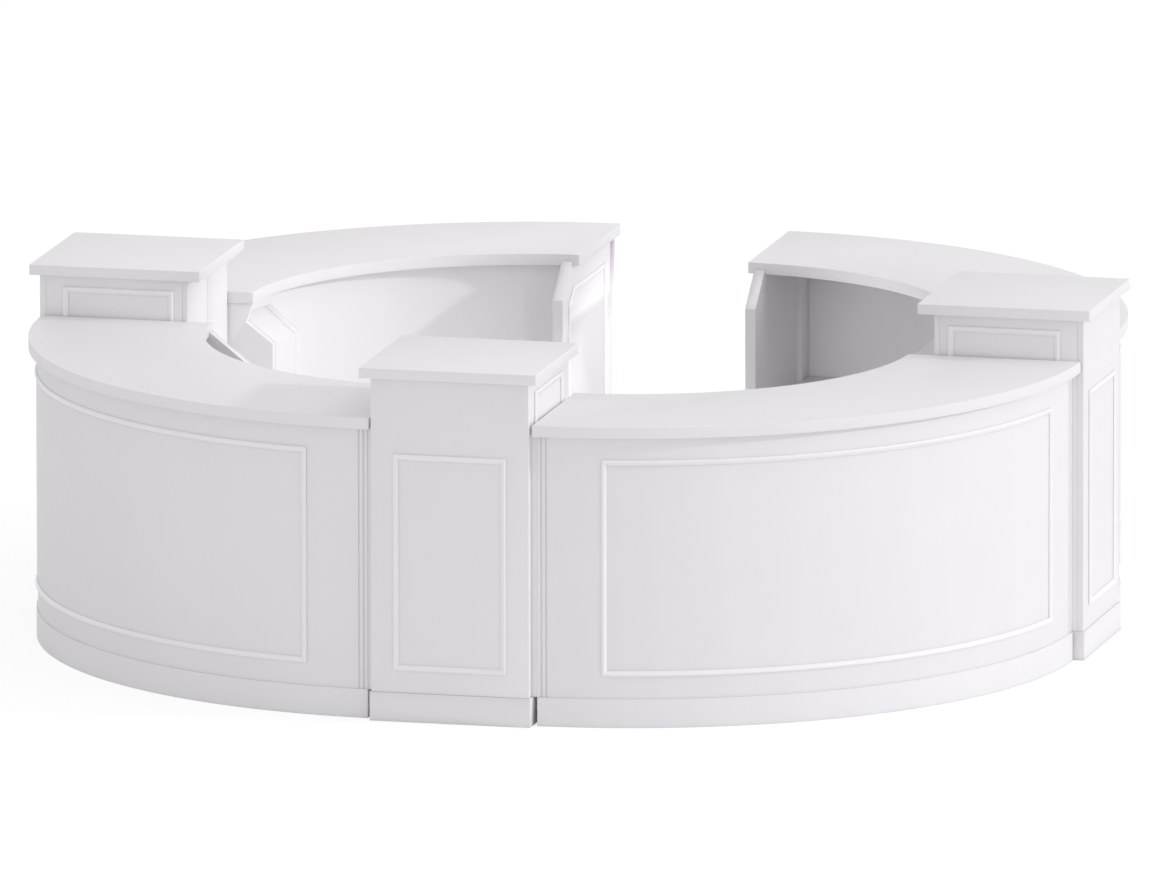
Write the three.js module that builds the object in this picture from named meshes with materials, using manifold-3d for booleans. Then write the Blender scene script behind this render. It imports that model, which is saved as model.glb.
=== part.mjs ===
import * as THREE from "three";
import { mergeVertices } from "three/addons/utils/BufferGeometryUtils.js";
import Module from "manifold-3d";

// A ring-shaped reception desk in painted board. Four curved counter units stand between three
// square cupboard columns, and the fourth place is left open as the way in.
// Millimetres, +Z up, the front column at -Y and the way in at +Y.

// Whole desk
const deskRadius = 1892; // from the desk's middle to a column's outer face
const counterHeight = 1070;
const columnHeight = 1256;
const plinthHeight = 102;
const plinthProud = 5;
const entranceWidth = 620;
const seat = 0.3; // air left between boards that touch
const boardThickness = 18;

// Paint
const paintColour = 0xf0f0f3;
const paintRoughness = 0.42;

// Columns
const columnWidth = 566;
const columnDepth = 538;
const frontBoardThickness = 22;
const capThickness = 38;
const capFrontOverhang = 30;
const capSideOverhang = 35;
const capBackOverhang = 54;
const columnShelfHeight = 640;
const doorGap = 3; // air round each door leaf
const doorBackGap = 0.5; // air between a leaf's back and the carcass

// Curved units
const arcMiddle = 269.5; // an arc's middle, from the desk's middle along both axes
const counterDepth = 621;
const counterThickness = 40;
const counterOverhang = 30; // counter's outer edge past the front panel
const counterSetback = 8; // counter's outer edge behind the columns' outer faces
const mouldingClearance = 0.4; // air between a counter's end and the moulding on a column's side
const panelInset = 12; // front panel's end from the counter's end
const beadCount = 2; // beads down each end of a front panel
const beadWidth = 11;
const beadGroove = 6; // width of the groove beside each bead
const beadGrooveDepth = 4;
const endPanelThickness = 38;
const columnEndInset = 8; // end panel's outer face from the counter's end, beside a column
const entranceEndInset = 24; // the same beside the way in
const endPanelReach = 148; // end panel's foot past the counter's inner edge
const endPanelDrop = 100; // from the counter's underside to where an end panel's slope begins
const endPanelLip = 16; // top of that slope above the underside, in front of the counter's edge
const battenThickness = 22; // upright batten glued where an end panel meets a front panel
const battenDepth = 95;
const shelfDepth = 400;
const shelfTop = 556;

// Closed staff side of the rear left unit, with a low box at its column end
const innerPanelInset = 52; // inner panel's face behind the counter's inner edge
const boxReach = 70; // box face past the counter's inner edge
const boxDrop = 143; // from the counter's underside to where the box's slope begins
const boxSlopeInset = 28; // where the slope of its end panel stops, behind the counter's inner edge
const boxSlopeDrop = 70; // the same below the counter's underside
const boxTopInset = 4; // that panel's top behind the counter's inner edge
const boxAngle = THREE.MathUtils.degToRad(15.1);

// Mouldings
const mouldingWidth = 20;
const mouldingRise = 9;
const mouldingMitre = 1.2; // room for a mitre before the next facet line, in moulding widths
const frameBottom = 182;
const frameDrop = 80; // from the counter's underside to the mouldings' top
const unitFrameMargin = 225; // along the arc, from the front panel's end to its moulding
const columnFrameMargin = 80;
const sideFrameBack = 50; // from the column's inner face to its side moulding
const sideFrameFront = 84; // from the column's outer face to its side moulding
const sideFrameDrop = 42; // from the cap's underside to a side moulding's top
const endFrameMargin = 78; // from an end panel's outline to its moulding

// Facets
const quarter = Math.PI / 2;
const arcStep = quarter / 40;

// Worked out from the sizes above. A unit's ends are given from its arc's middle
const columnHalf = columnWidth / 2;
const columnBack = deskRadius - columnDepth;
const capUnderside = columnHeight - capThickness;
const columnBodyTop = capUnderside - seat;
const columnEnd = columnHalf + mouldingRise + seat + mouldingClearance - arcMiddle;
const entranceEnd = entranceWidth / 2 - arcMiddle;
const counterOuter = deskRadius - counterSetback - arcMiddle;
const counterInner = counterOuter - counterDepth;
const counterUnderside = counterHeight - counterThickness;
const panelOuter = counterOuter - counterOverhang;
const panelInner = panelOuter - boardThickness;
const unitTop = counterUnderside - seat;
const frameTop = counterUnderside - frameDrop;
const endPanelInner = counterInner - endPanelReach;
const endPanelShoulder = counterUnderside - endPanelDrop;
const innerPanelFace = counterInner + innerPanelInset;
const boxInner = counterInner - boxReach;
const boxShoulder = counterUnderside - boxDrop;
const boxSlope = (boxDrop - boxSlopeDrop) / (boxReach + boxSlopeInset);

const wasm = await Module();
wasm.setup();

const right = new THREE.Vector3(1, 0, 0);
const back = new THREE.Vector3(0, 1, 0);
const up = new THREE.Vector3(0, 0, 1);
const desk = new THREE.Group();

// Satin white paint, one material for each piece
function addPiece(group, name, geometry) {
  const paint = { color: paintColour, roughness: paintRoughness, metalness: 0 };
  const mesh = new THREE.Mesh(geometry, new THREE.MeshStandardMaterial(paint));
  mesh.name = name;
  group.add(mesh);
}

function box(xRange, yRange, zRange) {
  const spans = [xRange, yRange, zRange].map(([low, high]) => high - low);
  const middles = [xRange, yRange, zRange].map(([low, high]) => (low + high) / 2);
  return new THREE.BoxGeometry(...spans).translate(...middles);
}

const toPoints = (pairs) => pairs.map(([x, y]) => new THREE.Vector2(x, y));

function rectangle(xLow, xHigh, yLow, yHigh) {
  return toPoints([[xLow, yLow], [xHigh, yLow], [xHigh, yHigh], [xLow, yHigh]]);
}

function extrude(points, depth, holes = []) {
  const shape = new THREE.Shape(points);
  shape.holes = holes.map((hole) => new THREE.Path(hole));
  return new THREE.ExtrudeGeometry(shape, { depth, bevelEnabled: false });
}

// Turns a flat piece so that its x runs along one direction, its y upward and its z along the facing
function stand(geometry, along, facing) {
  return geometry.applyMatrix4(new THREE.Matrix4().makeBasis(along, up, facing));
}

function toSolid(geometry) {
  const bare = geometry.clone();
  bare.deleteAttribute("normal");
  bare.deleteAttribute("uv");
  const merged = mergeVertices(bare);
  const vertProperties = new Float32Array(merged.attributes.position.array);
  const triVerts = new Uint32Array(merged.index.array);
  return new wasm.Manifold(new wasm.Mesh({ numProp: 3, vertProperties, triVerts }));
}

function toGeometry(solid) {
  const mesh = solid.getMesh();
  const geometry = new THREE.BufferGeometry();
  geometry.setAttribute("position", new THREE.BufferAttribute(mesh.vertProperties, 3));
  geometry.setIndex(new THREE.BufferAttribute(mesh.triVerts, 1));
  return geometry;
}

// Angles of an arc on one common grid, so that nested arcs share their facets
function arcAngles(from, to) {
  const margin = arcStep / 20;
  const angles = [from];
  for (let step = Math.floor(from / arcStep) + 1; step * arcStep < to - margin; step++) {
    if (step * arcStep > from + margin) angles.push(step * arcStep);
  }
  angles.push(to);
  return angles;
}

function polar(radius, angle) {
  return new THREE.Vector2(radius * Math.cos(angle), radius * Math.sin(angle));
}

// Ends an arc on a plane that runs past the arc's middle at an inset
const insetEnd = (inset) => (radius) => Math.asin(inset / radius);
const alongAt = (radius, inset) => Math.sqrt(radius ** 2 - inset ** 2);

// A bent board's facets dip inside its arc, so a board that meets them stays clear of the dip too
const bentSeat = (radius) => seat + radius * (1 - Math.cos(arcStep / 2));
const reachTo = (radius, inset) => alongAt(radius, inset) - bentSeat(radius);

function arcPoints(radius, firstEnd, lastEnd) {
  const angles = arcAngles(firstEnd(radius), quarter - lastEnd(radius));
  return angles.map((angle) => polar(radius, angle));
}

function ringSector(inner, outer, height, firstEnd, lastEnd) {
  const outline = [
    ...arcPoints(outer, firstEnd, lastEnd),
    ...arcPoints(inner, firstEnd, lastEnd).reverse(),
  ];
  return extrude(outline, height);
}

// Mitred moulding inside an outline that runs anticlockwise. place() seats each point on its board
const profileAcross = [0, 0, 0.22, 0.5, 0.72, 1, 1];
const profileRise = [0, 0.5, 1, 1, 0.55, 0.3, 0];

function leftOf(start, end) {
  const { x, y } = end.clone().sub(start).normalize();
  return new THREE.Vector2(-y, x);
}

function mouldingFrame(outline, place) {
  const positions = [];
  outline.forEach((corner, index) => {
    const first = leftOf(outline.at(index - 1), corner);
    const second = leftOf(corner, outline[(index + 1) % outline.length]);
    const mitre = first.clone().add(second).divideScalar(1 + first.dot(second));
    profileAcross.forEach((across, point) => {
      const { x, y } = corner.clone().addScaledVector(mitre, across * mouldingWidth);
      positions.push(...place(x, y, seat + profileRise[point] * mouldingRise));
    });
  });
  const ring = profileAcross.length;
  const indices = [];
  for (let station = 0; station < outline.length; station++) {
    const next = (station + 1) % outline.length;
    for (let point = 0; point < ring; point++) {
      const following = (point + 1) % ring;
      const corners = [station * ring + point, next * ring + point];
      corners.push(next * ring + following, station * ring + following);
      indices.push(corners[0], corners[1], corners[2], corners[0], corners[2], corners[3]);
    }
  }
  const geometry = new THREE.BufferGeometry();
  geometry.setAttribute("position", new THREE.Float32BufferAttribute(positions, 3));
  geometry.setIndex(indices);
  return geometry;
}

function flatMoulding(outline, along, facing, origin) {
  const frame = mouldingFrame(outline, (x, y, rise) => [x, y, rise]);
  return stand(frame, along, facing).translate(...origin);
}

// Square cupboard column, built at the +X place with its outer face toward +X
function columnCarcass() {
  const inner = columnHalf - boardThickness;
  const floor = plinthHeight + seat;
  const spaces = [
    [floor + boardThickness, columnShelfHeight - boardThickness],
    [columnShelfHeight, columnBodyTop - boardThickness],
  ];
  const holes = spaces.map(([low, high]) => rectangle(-inner, inner, low, high));
  const near = columnBack + boardThickness + doorBackGap;
  const far = deskRadius - frontBoardThickness - seat;
  const outline = rectangle(-columnHalf, columnHalf, floor, columnBodyTop);
  const tube = extrude(outline, far - near, holes);
  return stand(tube, back, right).translate(near, 0, 0);
}

function columnPlinth() {
  const half = columnHalf + plinthProud;
  const front = deskRadius + plinthProud;
  const outline = rectangle(columnBack, front, -half, half);
  const inside = rectangle(
    columnBack + boardThickness,
    front - boardThickness - plinthProud,
    boardThickness + plinthProud - half,
    half - boardThickness - plinthProud,
  );
  return extrude(outline, plinthHeight, [inside]);
}

function columnCap() {
  const reach = [columnBack - capBackOverhang, deskRadius + capFrontOverhang];
  const half = columnHalf + capSideOverhang;
  return box(reach, [-half, half], [capUnderside, columnHeight]);
}

function columnFrontBoard() {
  const reach = [deskRadius - frontBoardThickness, deskRadius];
  return box(reach, [-columnHalf, columnHalf], [plinthHeight + seat, columnBodyTop]);
}

function columnFrontMoulding() {
  const half = columnHalf - columnFrameMargin;
  return flatMoulding(rectangle(-half, half, frameBottom, frameTop), back, right, [deskRadius, 0, 0]);
}

function columnSideMoulding(side) {
  const along = right.clone().multiplyScalar(-side);
  const facing = back.clone().multiplyScalar(side);
  const edges = [-side * (columnBack + sideFrameBack), -side * (deskRadius - sideFrameFront)];
  edges.sort((a, b) => a - b);
  const outline = rectangle(...edges, frameBottom, capUnderside - sideFrameDrop);
  return flatMoulding(outline, along, facing, [0, side * columnHalf, 0]);
}

function doorLeaf(side) {
  const edges = [side * columnHalf, (side * doorGap) / 2].sort((a, b) => a - b);
  const heights = [plinthHeight + doorGap, capUnderside - doorGap];
  return box([columnBack, columnBack + boardThickness], edges, heights);
}

function addColumn(name, turn) {
  const column = new THREE.Group();
  column.rotation.z = turn;
  desk.add(column);
  addPiece(column, `${name}_cap`, columnCap());
  addPiece(column, `${name}_carcass`, columnCarcass());
  addPiece(column, `${name}_front_board`, columnFrontBoard());
  addPiece(column, `${name}_plinth`, columnPlinth());
  addPiece(column, `${name}_front_moulding`, columnFrontMoulding());
  addPiece(column, `${name}_side_moulding_left`, columnSideMoulding(-1));
  addPiece(column, `${name}_side_moulding_right`, columnSideMoulding(1));
  addPiece(column, `${name}_door_left`, doorLeaf(1));
  addPiece(column, `${name}_door_right`, doorLeaf(-1));
}

// Beads and grooves down one end of a front panel, from the end inward
function beadedEnd(start) {
  const points = [];
  const addPoint = (radius, inset) => points.push(new THREE.Vector2(alongAt(radius, inset), inset));
  for (let bead = 0; bead < beadCount; bead++) {
    const edge = start + bead * (beadWidth + beadGroove);
    addPoint(panelOuter, edge);
    addPoint(panelOuter, edge + beadWidth);
    addPoint(panelOuter - beadGrooveDepth, edge + beadWidth);
    addPoint(panelOuter - beadGrooveDepth, edge + beadWidth + beadGroove);
  }
  return points;
}

function frontPanel(starts) {
  const [firstBeads, lastBeads] = starts.map(beadedEnd);
  const beads = beadCount * (beadWidth + beadGroove);
  const outline = [
    ...firstBeads,
    ...arcPoints(panelOuter, ...starts.map((start) => insetEnd(start + beads))),
    ...lastBeads.map(({ x, y }) => new THREE.Vector2(y, x)).reverse(),
    ...arcPoints(panelInner, ...starts.map(insetEnd)).reverse(),
  ];
  const foot = plinthHeight + seat;
  return extrude(outline, unitTop - foot).translate(0, 0, foot);
}

// Angle of a bent moulding's end, moved to a facet line where the mitre would cross that line
function frameEnd(start) {
  const wanted = (start + unitFrameMargin) / panelOuter;
  const facetLine = Math.ceil(wanted / arcStep) * arcStep;
  const mitre = (mouldingMitre * mouldingWidth) / panelOuter;
  return facetLine - wanted < mitre ? facetLine : wanted;
}

function unitMoulding(starts) {
  const [first, last] = starts.map(frameEnd);
  const alongs = arcAngles(first, quarter - last).map((angle) => angle * panelOuter);
  const bottom = alongs.map((along) => [along, frameBottom]);
  const top = alongs.map((along) => [along, frameTop]).reverse();
  return mouldingFrame(toPoints([...bottom, ...top]), (along, height, rise) => {
    const { x, y } = polar(panelOuter + rise, along / panelOuter);
    return [x, y, height];
  });
}

// Upright board across a unit, drawn as distance from the arc's middle and height
function endBoard(outline, inset) {
  const board = extrude(toPoints(outline), endPanelThickness);
  return stand(board, right, back.clone().negate()).translate(0, inset + endPanelThickness, 0);
}

// Staff edge of an open unit's end panel, from the counter down to the floor
function wingEdge(inside) {
  const edge = reachTo(counterInner, inside);
  return [
    [edge, unitTop],
    [edge, counterUnderside + endPanelLip],
    [endPanelInner, endPanelShoulder],
    [endPanelInner, 0],
  ];
}

// The same edge where the box stands against the end panel
function boxedEdge() {
  return [
    [counterInner + boxTopInset, unitTop],
    [counterInner + boxSlopeInset, counterUnderside - boxSlopeDrop],
    [boxInner, boxShoulder],
    [boxInner, 0],
  ];
}

// End panel with its batten glued on
function endPanel(inset, staffEdge) {
  const inside = inset + endPanelThickness;
  const far = reachTo(panelInner, inside);
  const board = endBoard([[far, 0], [far, unitTop], ...staffEdge], inset);
  const battenFace = inside + battenThickness;
  const battenFar = reachTo(panelInner, battenFace);
  const battenReach = [battenFar - battenDepth, battenFar];
  const batten = box(battenReach, [inset + endPanelThickness / 2, battenFace], [0, unitTop]);
  return toGeometry(toSolid(board).add(toSolid(batten)));
}

// Five-sided moulding that follows an open end panel's outline at one margin
function endMoulding(inset) {
  const inside = inset + endPanelThickness;
  const rise = counterUnderside + endPanelLip - endPanelShoulder;
  const slope = rise / (reachTo(counterInner, inside) - endPanelInner);
  const near = endPanelInner + endFrameMargin;
  const far = reachTo(panelInner, inside) - endFrameMargin;
  const top = unitTop - endFrameMargin;
  const shoulder = endPanelShoulder + (slope - Math.hypot(1, slope)) * endFrameMargin;
  const bend = near + (top - shoulder) / slope;
  const corners = [[near, frameBottom], [far, frameBottom], [far, top], [bend, top], [near, shoulder]];
  return flatMoulding(toPoints(corners), right, back.clone().negate(), [0, inset, 0]);
}

const boxHeightAt = (radius) => boxShoulder + boxSlope * (radius - boxInner);

// The box's curved face and sloping lid as one shell, turned round the arc's middle
function endBox(start) {
  const inner = boxInner + boardThickness;
  const far = innerPanelFace - seat;
  const drop = boardThickness * Math.hypot(1, boxSlope);
  const profile = toPoints([
    [boxInner, 0],
    [inner, 0],
    [inner, boxHeightAt(inner) - drop],
    [far, boxHeightAt(far) - drop],
    [far, boxHeightAt(far)],
    [boxInner, boxShoulder],
    [boxInner, 0],
  ]);
  const segments = Math.round((4 * quarter) / arcStep);
  const ring = new THREE.LatheGeometry(profile, segments).rotateX(quarter);
  const reach = 2 * counterOuter;
  const corners = toPoints([[start / Math.tan(boxAngle), start], [reach, start]]);
  corners.push(polar(reach, boxAngle));
  const wedge = extrude(corners, 2 * counterHeight).translate(0, 0, -counterHeight / 2);
  return toGeometry(toSolid(ring).intersect(toSolid(wedge)));
}

// Upright board that closes the box's other side
function boxSide() {
  const far = reachTo(innerPanelFace, seat + endPanelThickness);
  const outline = [[boxInner, 0], [far, 0], [far, boxHeightAt(far)], [boxInner, boxShoulder]];
  return endBoard(outline, seat).rotateZ(boxAngle);
}

// A piece made at a unit's first end, mirrored to its last end
function mirrored(geometry) {
  const copy = mergeVertices(geometry);
  copy.applyMatrix4(new THREE.Matrix4().set(0, 1, 0, 0, 1, 0, 0, 0, 0, 0, 1, 0, 0, 0, 0, 1));
  copy.index.array.reverse();
  return copy;
}

// Adds one end of a unit, and returns how far in its end panel reaches
function addUnitEnd(unit, name, end, isLast) {
  const place = (geometry) => (isLast ? mirrored(geometry) : geometry);
  const inset = end.start + end.inset;
  const inside = inset + endPanelThickness;
  const staffEdge = end.boxed ? boxedEdge() : wingEdge(inside);
  addPiece(unit, `${name}_end_panel_${end.beside}`, place(endPanel(inset, staffEdge)));
  if (end.framed) addPiece(unit, `${name}_end_moulding`, place(endMoulding(inset)));
  if (end.boxed) {
    addPiece(unit, `${name}_end_box`, place(endBox(inside + seat)));
    addPiece(unit, `${name}_box_side`, place(boxSide()));
  }
  return inside;
}

function innerPanel(insides) {
  const ends = insides.map((inside) => insetEnd(inside + seat));
  return ringSector(innerPanelFace, innerPanelFace + boardThickness, unitTop, ...ends);
}

function unitShelf(insides) {
  const outer = panelInner - bentSeat(panelInner);
  const ends = insides.map((inside) => insetEnd(inside + battenThickness + seat));
  const shelf = ringSector(outer - shelfDepth, outer, boardThickness, ...ends);
  return shelf.translate(0, 0, shelfTop - boardThickness);
}

// Curved unit, built as the quarter from +X to +Y round its arc's middle
function addUnit(name, turn, [middleX, middleY], ends) {
  const unit = new THREE.Group();
  unit.rotation.z = turn;
  unit.position.set(middleX, middleY, 0);
  desk.add(unit);
  const counterEnds = ends.map((end) => insetEnd(end.start));
  const counter = ringSector(counterInner, counterOuter, counterThickness, ...counterEnds);
  const starts = ends.map((end) => end.start + panelInset);
  const plinth = ringSector(panelInner, panelOuter + plinthProud, plinthHeight, ...starts.map(insetEnd));
  addPiece(unit, `${name}_countertop`, counter.translate(0, 0, counterUnderside));
  addPiece(unit, `${name}_front_panel`, frontPanel(starts));
  addPiece(unit, `${name}_plinth`, plinth);
  addPiece(unit, `${name}_panel_moulding`, unitMoulding(starts));
  const insides = ends.map((end, index) => addUnitEnd(unit, name, end, index === 1));
  if (ends.some((end) => end.boxed)) {
    addPiece(unit, `${name}_inner_panel`, innerPanel(insides));
  } else {
    addPiece(unit, `${name}_shelf`, unitShelf(insides));
  }
}

addColumn("front_column", -quarter);
addColumn("right_column", 0);
addColumn("left_column", 2 * quarter);

const besideColumn = (beside) => ({ beside, start: columnEnd, inset: columnEndInset });
const entrance = { beside: "entrance", start: entranceEnd, inset: entranceEndInset, framed: true };
const boxedLeft = { ...besideColumn("left"), boxed: true };
addUnit("front_left", 2 * quarter, [-arcMiddle, -arcMiddle], [besideColumn("left"), besideColumn("front")]);
addUnit("front_right", -quarter, [arcMiddle, -arcMiddle], [besideColumn("front"), besideColumn("right")]);
addUnit("back_right", 0, [arcMiddle, arcMiddle], [besideColumn("right"), entrance]);
addUnit("back_left", quarter, [-arcMiddle, arcMiddle], [entrance, boxedLeft]);

// The origin is on the floor, under the middle of the desk's outline
const frontReach = deskRadius + capFrontOverhang;
const backReach = arcMiddle + alongAt(counterOuter, entranceEnd);
desk.position.y = (frontReach - backReach) / 2;

export default desk;
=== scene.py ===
"""Looks of the ring-shaped reception desk: white paint, eased edges, joint strips, soft light and camera."""
import math

import bpy
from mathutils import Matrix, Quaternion, Vector


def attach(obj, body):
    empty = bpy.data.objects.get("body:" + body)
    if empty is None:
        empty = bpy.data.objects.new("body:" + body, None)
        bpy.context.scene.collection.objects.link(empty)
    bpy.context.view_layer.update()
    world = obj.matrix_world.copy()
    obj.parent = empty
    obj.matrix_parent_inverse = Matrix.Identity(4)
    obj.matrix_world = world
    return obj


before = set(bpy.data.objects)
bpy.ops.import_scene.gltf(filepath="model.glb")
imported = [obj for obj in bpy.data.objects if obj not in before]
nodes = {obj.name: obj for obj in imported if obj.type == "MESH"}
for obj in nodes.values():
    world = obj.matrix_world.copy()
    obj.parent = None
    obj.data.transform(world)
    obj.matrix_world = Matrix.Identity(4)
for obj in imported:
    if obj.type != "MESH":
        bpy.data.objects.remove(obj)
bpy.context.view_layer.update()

# Camera, as a long lens far away
PHOTO_WIDTH = 1174
PHOTO_HEIGHT = 880
AZIMUTH = math.radians(13.795)
ELEVATION = math.radians(11.0)
ROLL = math.radians(-0.085)
PIXELS_PER_METRE = 283.16
FOCAL_PIXELS = 36000
SENSOR_MM = 36.0
FAR_CLIP = 4  # in distances from the camera to the desk
COUNTER_MIDDLE_PIXEL = (579.27, 472.0)  # where the desk's middle, at half the counter's height, lies
DESK_MIDDLE_Y = 0.01925
HALF_COUNTER = 0.535

# Light. Azimuth 0 is from the front and 90 from the right, and a sun's strength is in watts a square metre
SKY = 0.65
BACKDROP = 1.0  # the strength that is seen as plain white
SUNS = {  # azimuth, elevation and softness in degrees, then strength
    "key": (95, 20.3, 3, 0.82),
    "fill_high": (100, 50, 40, 0.25),
    "fill_front": (20, 20, 60, 0.18),
    "fill_top": (0, 90, 40, 0.12),
}
SPOTS = {  # inside the ring, for what a room throws back: place, aim, cone in degrees, softness, watts
    "to_back_left": (Vector((1.00, -0.50, 0.65)), Vector((-1.20, 0.53, 0.60)), 60, 0.9, 48),
    "to_back_right": (Vector((0.60, -0.90, 0.65)), Vector((1.00, 1.60, 0.68)), 32, 0.7, 48),
    "to_way_in": (Vector((1.00, -0.50, 0.65)), Vector((-0.31, 1.62, 0.60)), 17, 0.6, 150),
}
SPOT_RADIUS = 0.1

# Floor, which bounces light as a pale surface and is seen as white with faint shadows
FLOOR_SIZE = 60.0
FLOOR_DROP = 0.0005  # below the foot of the desk, so that no two faces share a plane
FLOOR_BOUNCE = 0.92
FLOOR_SHADE = 0.35
FLOOR_GLOW = 0.73

# Paint, as linear colour
WHITE = (0.90, 0.88, 0.91)
# Whiter than the other paint: a painted highlight along the moulding's edges
MOULDING_HIGHLIGHT_WHITE = (0.96, 0.94, 0.97)
SHEEN = 0.15
MOULDING_SHEEN = 0.5
CLOUDING = 0.983  # the darker patches as a share of the colour
# Painted shade in corners, creases and joints: how far the occlusion reaches, how dark the colour gets
# there, and its samples
CREASE_REACH = 0.012
CREASE_SHADE = 0.85
CREASE_SAMPLES = 6
NOISE_SPAN = (0.3, 0.7)  # where most values of a noise lie
CLOUD_NOISE = (2.4, 4.0)  # scale and detail, as in the next three
PATCH_NOISE = (11.0, 5.0)
GRAIN_NOISE = (420.0, 2.0)
RIPPLE_NOISE = (38.0, 2.0)
GRAIN_STRENGTH = 0.35
RIPPLE_STRENGTH = 0.25
RIPPLE_DEPTH = 4  # in stipple depths
PAINTS = {  # roughness from and to, stipple depth in metres, colour, sheen
    "counter_paint": (0.44, 0.54, 0.00006, WHITE, SHEEN),
    "panel_paint": (0.50, 0.60, 0.00010, WHITE, SHEEN),
    "moulding_paint": (0.30, 0.40, 0.00004, MOULDING_HIGHLIGHT_WHITE, MOULDING_SHEEN),
    "plinth_paint": (0.50, 0.62, 0.00010, WHITE, SHEEN),
    "carcass_paint": (0.54, 0.64, 0.00014, WHITE, SHEEN),
    "door_paint": (0.46, 0.56, 0.00008, WHITE, SHEEN),
}

# Eased edges, in metres
COUNTER_EASE = 0.003
BOARD_EASE = 0.0015
MOULDING_EASE = 0.0012
EASE_SEGMENTS = 3
EASE_ANGLE = math.radians(25)  # edges that turn by less stay as they are
WELD_REACH = 0.00002
RULES = (  # the first word that a piece's name contains gives its paint and its ease
    ("countertop", "counter_paint", COUNTER_EASE),
    ("cap", "counter_paint", COUNTER_EASE),
    ("moulding", "moulding_paint", MOULDING_EASE),
    ("plinth", "plinth_paint", BOARD_EASE),
    ("door", "door_paint", BOARD_EASE),
    ("shelf", "carcass_paint", BOARD_EASE),
    ("carcass", "carcass_paint", BOARD_EASE),
    ("panel", "panel_paint", BOARD_EASE),
    ("board", "panel_paint", BOARD_EASE),
    ("box", "panel_paint", BOARD_EASE),
)

# Thin strips that close the joints between columns and units, in metres
STRIP_SIDES = (0.2833, 0.3044)  # from a column's middle line
STRIP_DEPTHS = (1.838, 1.851)  # from the desk's middle
STRIP_HEIGHTS = (0.1025, 1.0295)
COLUMN_TURNS = {"front": 0, "right": 90, "left": -90}  # in degrees about the desk's middle


def new_material(name):
    material = bpy.data.materials.new(name)
    material.use_nodes = True
    tree = material.node_tree
    shader = tree.nodes["Principled BSDF"]
    return material, tree, shader


def add(tree, kind, **settings):
    """A new shader node, with its sockets and properties set by name."""
    node = tree.nodes.new(kind)
    for key, value in settings.items():
        if key in node.inputs:
            node.inputs[key].default_value = value
        else:
            setattr(node, key, value)
    return node


def noise(tree, place, scale, detail):
    made = add(tree, "ShaderNodeTexNoise", Scale=scale, Detail=detail)
    tree.links.new(place, made.inputs["Vector"])
    return made.outputs["Fac"]


def spread(tree, value, low, high):
    """A noise value stretched over a range."""
    made = add(tree, "ShaderNodeMapRange")
    made.inputs["From Min"].default_value = NOISE_SPAN[0]
    made.inputs["From Max"].default_value = NOISE_SPAN[1]
    made.inputs["To Min"].default_value = low
    made.inputs["To Max"].default_value = high
    tree.links.new(value, made.inputs["Value"])
    return made.outputs["Result"]


def satin_paint(name, rough_low, rough_high, stipple, white, sheen):
    """Satin white paint: faint clouding, painted shade in the corners and creases, and the fine stipple that
    a roller leaves.
    """
    material, tree, shader = new_material(name)
    links = tree.links
    place = add(tree, "ShaderNodeTexCoord").outputs["Object"]
    cloud = noise(tree, place, *CLOUD_NOISE)
    tint = add(tree, "ShaderNodeMix", data_type="RGBA")
    tint.inputs["A"].default_value = (*white, 1)
    tint.inputs["B"].default_value = (*(CLOUDING * value for value in white), 1)
    links.new(spread(tree, cloud, 0.0, 1.0), tint.inputs["Factor"])
    # Painted shade: the colour is darkened where the occlusion finds a nearby surface, in corners, creases
    # and joints
    corner = add(tree, "ShaderNodeAmbientOcclusion", Distance=CREASE_REACH, samples=CREASE_SAMPLES)
    painted_crease_shade = add(tree, "ShaderNodeMapRange")
    painted_crease_shade.inputs["To Min"].default_value = CREASE_SHADE
    links.new(corner.outputs["AO"], painted_crease_shade.inputs["Value"])
    crease_shaded_colour = add(tree, "ShaderNodeMix", data_type="RGBA", blend_type="MULTIPLY")
    crease_shaded_colour.inputs["Factor"].default_value = 1.0
    links.new(tint.outputs["Result"], crease_shaded_colour.inputs["A"])
    links.new(painted_crease_shade.outputs["Result"], crease_shaded_colour.inputs["B"])
    links.new(crease_shaded_colour.outputs["Result"], shader.inputs["Base Color"])
    shader.inputs["Specular IOR Level"].default_value = sheen
    patches = noise(tree, place, *PATCH_NOISE)
    links.new(spread(tree, patches, rough_low, rough_high), shader.inputs["Roughness"])
    grain = add(tree, "ShaderNodeBump", Strength=GRAIN_STRENGTH, Distance=stipple)
    links.new(noise(tree, place, *GRAIN_NOISE), grain.inputs["Height"])
    ripple = add(tree, "ShaderNodeBump", Strength=RIPPLE_STRENGTH, Distance=stipple * RIPPLE_DEPTH)
    links.new(noise(tree, place, *RIPPLE_NOISE), ripple.inputs["Height"])
    links.new(grain.outputs["Normal"], ripple.inputs["Normal"])
    links.new(ripple.outputs["Normal"], shader.inputs["Normal"])
    return material


def ease_edges(node, width):
    """Rounds a board's edges and keeps its faces smooth."""
    node.data.shade_smooth()
    weld = node.modifiers.new("weld", "WELD")
    weld.merge_threshold = WELD_REACH
    bevel = node.modifiers.new("ease", "BEVEL")
    bevel.width = width
    bevel.segments = EASE_SEGMENTS
    bevel.limit_method = "ANGLE"
    bevel.angle_limit = EASE_ANGLE
    bevel.harden_normals = True


def paint_desk(paints):
    for name, node in nodes.items():
        paint, ease = next((paint, width) for word, paint, width in RULES if word in name)
        node.data.materials.clear()
        node.data.materials.append(paints[paint])
        ease_edges(node, ease)


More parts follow.
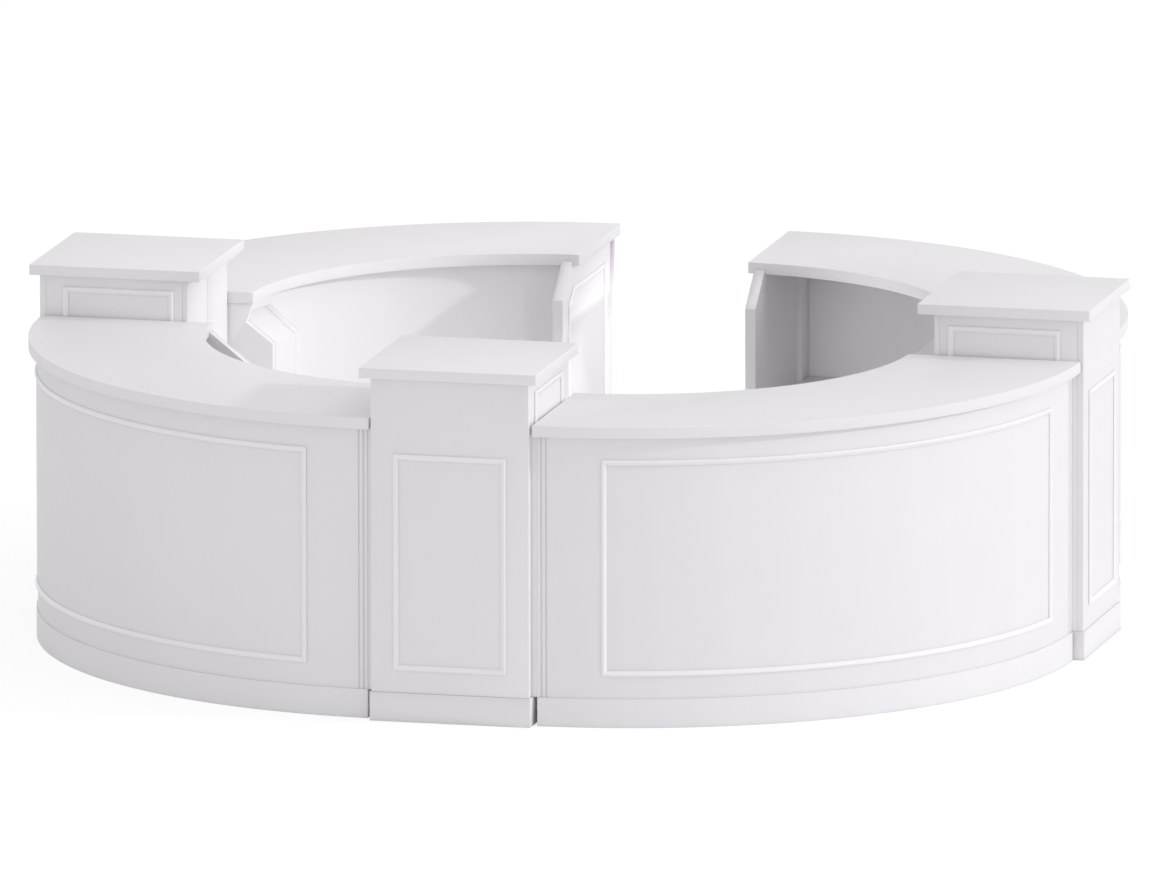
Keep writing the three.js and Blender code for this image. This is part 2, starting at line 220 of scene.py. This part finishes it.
def add_strip(name, turn, side, paint):
    """One upright strip beside a column, turned with that column about the desk's middle."""
    ranges = (STRIP_SIDES, STRIP_DEPTHS, STRIP_HEIGHTS)
    spans = [high - low for low, high in ranges]
    across, outward, height = [(low + high) / 2 for low, high in ranges]
    place = Quaternion((0, 0, 1), turn) @ Vector((side * across, -outward, height))
    place.y += DESK_MIDDLE_Y
    bpy.ops.mesh.primitive_cube_add(size=1, location=place, rotation=(0, 0, turn), scale=spans)
    bpy.ops.object.transform_apply(location=False, rotation=False, scale=True)
    strip = bpy.context.object
    strip.name = name
    strip.data.materials.append(paint)
    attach(strip, "desk")


def close_joints(paint):
    for column, turn in COLUMN_TURNS.items():
        for side, word in ((-1, "left"), (1, "right")):
            add_strip(f"{column}_joint_strip_{word}", math.radians(turn), side, paint)


def seen_white(tree):
    """1 where the camera, a reflection or a clear surface looks, and 0 where light is gathered."""
    path = add(tree, "ShaderNodeLightPath")
    total = path.outputs["Is Camera Ray"]
    for ray in ("Is Glossy Ray", "Is Transmission Ray"):
        larger = add(tree, "ShaderNodeMath", operation="MAXIMUM")
        tree.links.new(total, larger.inputs[0])
        tree.links.new(path.outputs[ray], larger.inputs[1])
        total = larger.outputs["Value"]
    return total


def make_floor():
    bpy.ops.mesh.primitive_plane_add(size=FLOOR_SIZE, location=(0, 0, -FLOOR_DROP))
    floor = bpy.context.object
    floor.name = "floor"
    material, tree, shader = new_material("floor_white")
    tree.nodes.remove(shader)
    bounce = add(tree, "ShaderNodeBsdfDiffuse", Color=(FLOOR_BOUNCE, FLOOR_BOUNCE, FLOOR_BOUNCE, 1))
    shade = add(tree, "ShaderNodeBsdfDiffuse", Color=(FLOOR_SHADE, FLOOR_SHADE, FLOOR_SHADE, 1))
    glow = add(tree, "ShaderNodeEmission", Strength=FLOOR_GLOW)
    seen = add(tree, "ShaderNodeAddShader")
    choose = add(tree, "ShaderNodeMixShader")
    tree.links.new(shade.outputs["BSDF"], seen.inputs[0])
    tree.links.new(glow.outputs["Emission"], seen.inputs[1])
    tree.links.new(seen_white(tree), choose.inputs["Fac"])
    tree.links.new(bounce.outputs["BSDF"], choose.inputs[1])
    tree.links.new(seen.outputs["Shader"], choose.inputs[2])
    output = tree.nodes["Material Output"]
    tree.links.new(choose.outputs["Shader"], output.inputs["Surface"])
    floor.data.materials.append(material)


def make_world():
    world = bpy.data.worlds.new("studio")
    world.use_nodes = True
    bpy.context.scene.world = world
    tree = world.node_tree
    background = tree.nodes["Background"]
    background.inputs["Color"].default_value = (1, 1, 1, 1)
    level = add(tree, "ShaderNodeMapRange")
    level.inputs["To Min"].default_value = SKY
    level.inputs["To Max"].default_value = BACKDROP
    tree.links.new(seen_white(tree), level.inputs["Value"])
    tree.links.new(level.outputs["Result"], background.inputs["Strength"])


def direction(azimuth, elevation):
    """Unit vector toward something seen at an azimuth from the front and an elevation."""
    level = math.cos(elevation)
    return Vector((math.sin(azimuth) * level, -math.cos(azimuth) * level, math.sin(elevation)))


def add_lamp(name, kind, power, toward):
    """A lamp that shines from the side that a vector points to."""
    stand = bpy.data.objects.new(name, bpy.data.lights.new(name, kind))
    bpy.context.scene.collection.objects.link(stand)
    stand.data.energy = power
    stand.rotation_mode = "QUATERNION"
    stand.rotation_quaternion = toward.to_track_quat("Z", "Y")
    return stand


def make_suns():
    """One sharp key and three broad fills, all without falloff."""
    for name, (azimuth, elevation, softness, strength) in SUNS.items():
        sun = add_lamp(name, "SUN", strength, direction(math.radians(azimuth), math.radians(elevation)))
        sun.data.angle = math.radians(softness)


def make_spots():
    """Lamps that light the ring's inside and aren't seen themselves."""
    for name, (place, aim, cone, softness, power) in SPOTS.items():
        spot = add_lamp(name, "SPOT", power, place - aim)
        spot.location = place
        spot.data.shadow_soft_size = SPOT_RADIUS
        spot.data.spot_size = math.radians(cone)
        spot.data.spot_blend = softness
        spot.visible_camera = False
        spot.visible_glossy = False


def make_camera():
    back = direction(AZIMUTH, ELEVATION)
    right = Vector((math.cos(AZIMUTH), math.sin(AZIMUTH), 0))
    above = back.cross(right)
    distance = FOCAL_PIXELS / PIXELS_PER_METRE
    data = bpy.data.cameras.new("camera")
    data.sensor_width = SENSOR_MM
    data.lens = FOCAL_PIXELS * SENSOR_MM / PHOTO_WIDTH
    data.clip_end = FAR_CLIP * distance
    camera = bpy.data.objects.new("camera", data)
    bpy.context.scene.collection.objects.link(camera)
    aside = (PHOTO_WIDTH / 2 - COUNTER_MIDDLE_PIXEL[0]) / PIXELS_PER_METRE
    upward = (COUNTER_MIDDLE_PIXEL[1] - PHOTO_HEIGHT / 2) / PIXELS_PER_METRE
    target = Vector((0, DESK_MIDDLE_Y, HALF_COUNTER)) + right * aside + above * upward
    camera.location = target + back * distance
    camera.rotation_mode = "QUATERNION"
    camera.rotation_quaternion = back.to_track_quat("Z", "Y") @ Quaternion((0, 0, 1), ROLL)
    bpy.context.scene.camera = camera


bpy.context.scene.view_settings.view_transform = "Standard"
desk_paints = {name: satin_paint(name, *looks) for name, looks in PAINTS.items()}
paint_desk(desk_paints)
close_joints(desk_paints["panel_paint"])
make_floor()
make_world()
make_suns()
make_spots()
make_camera()
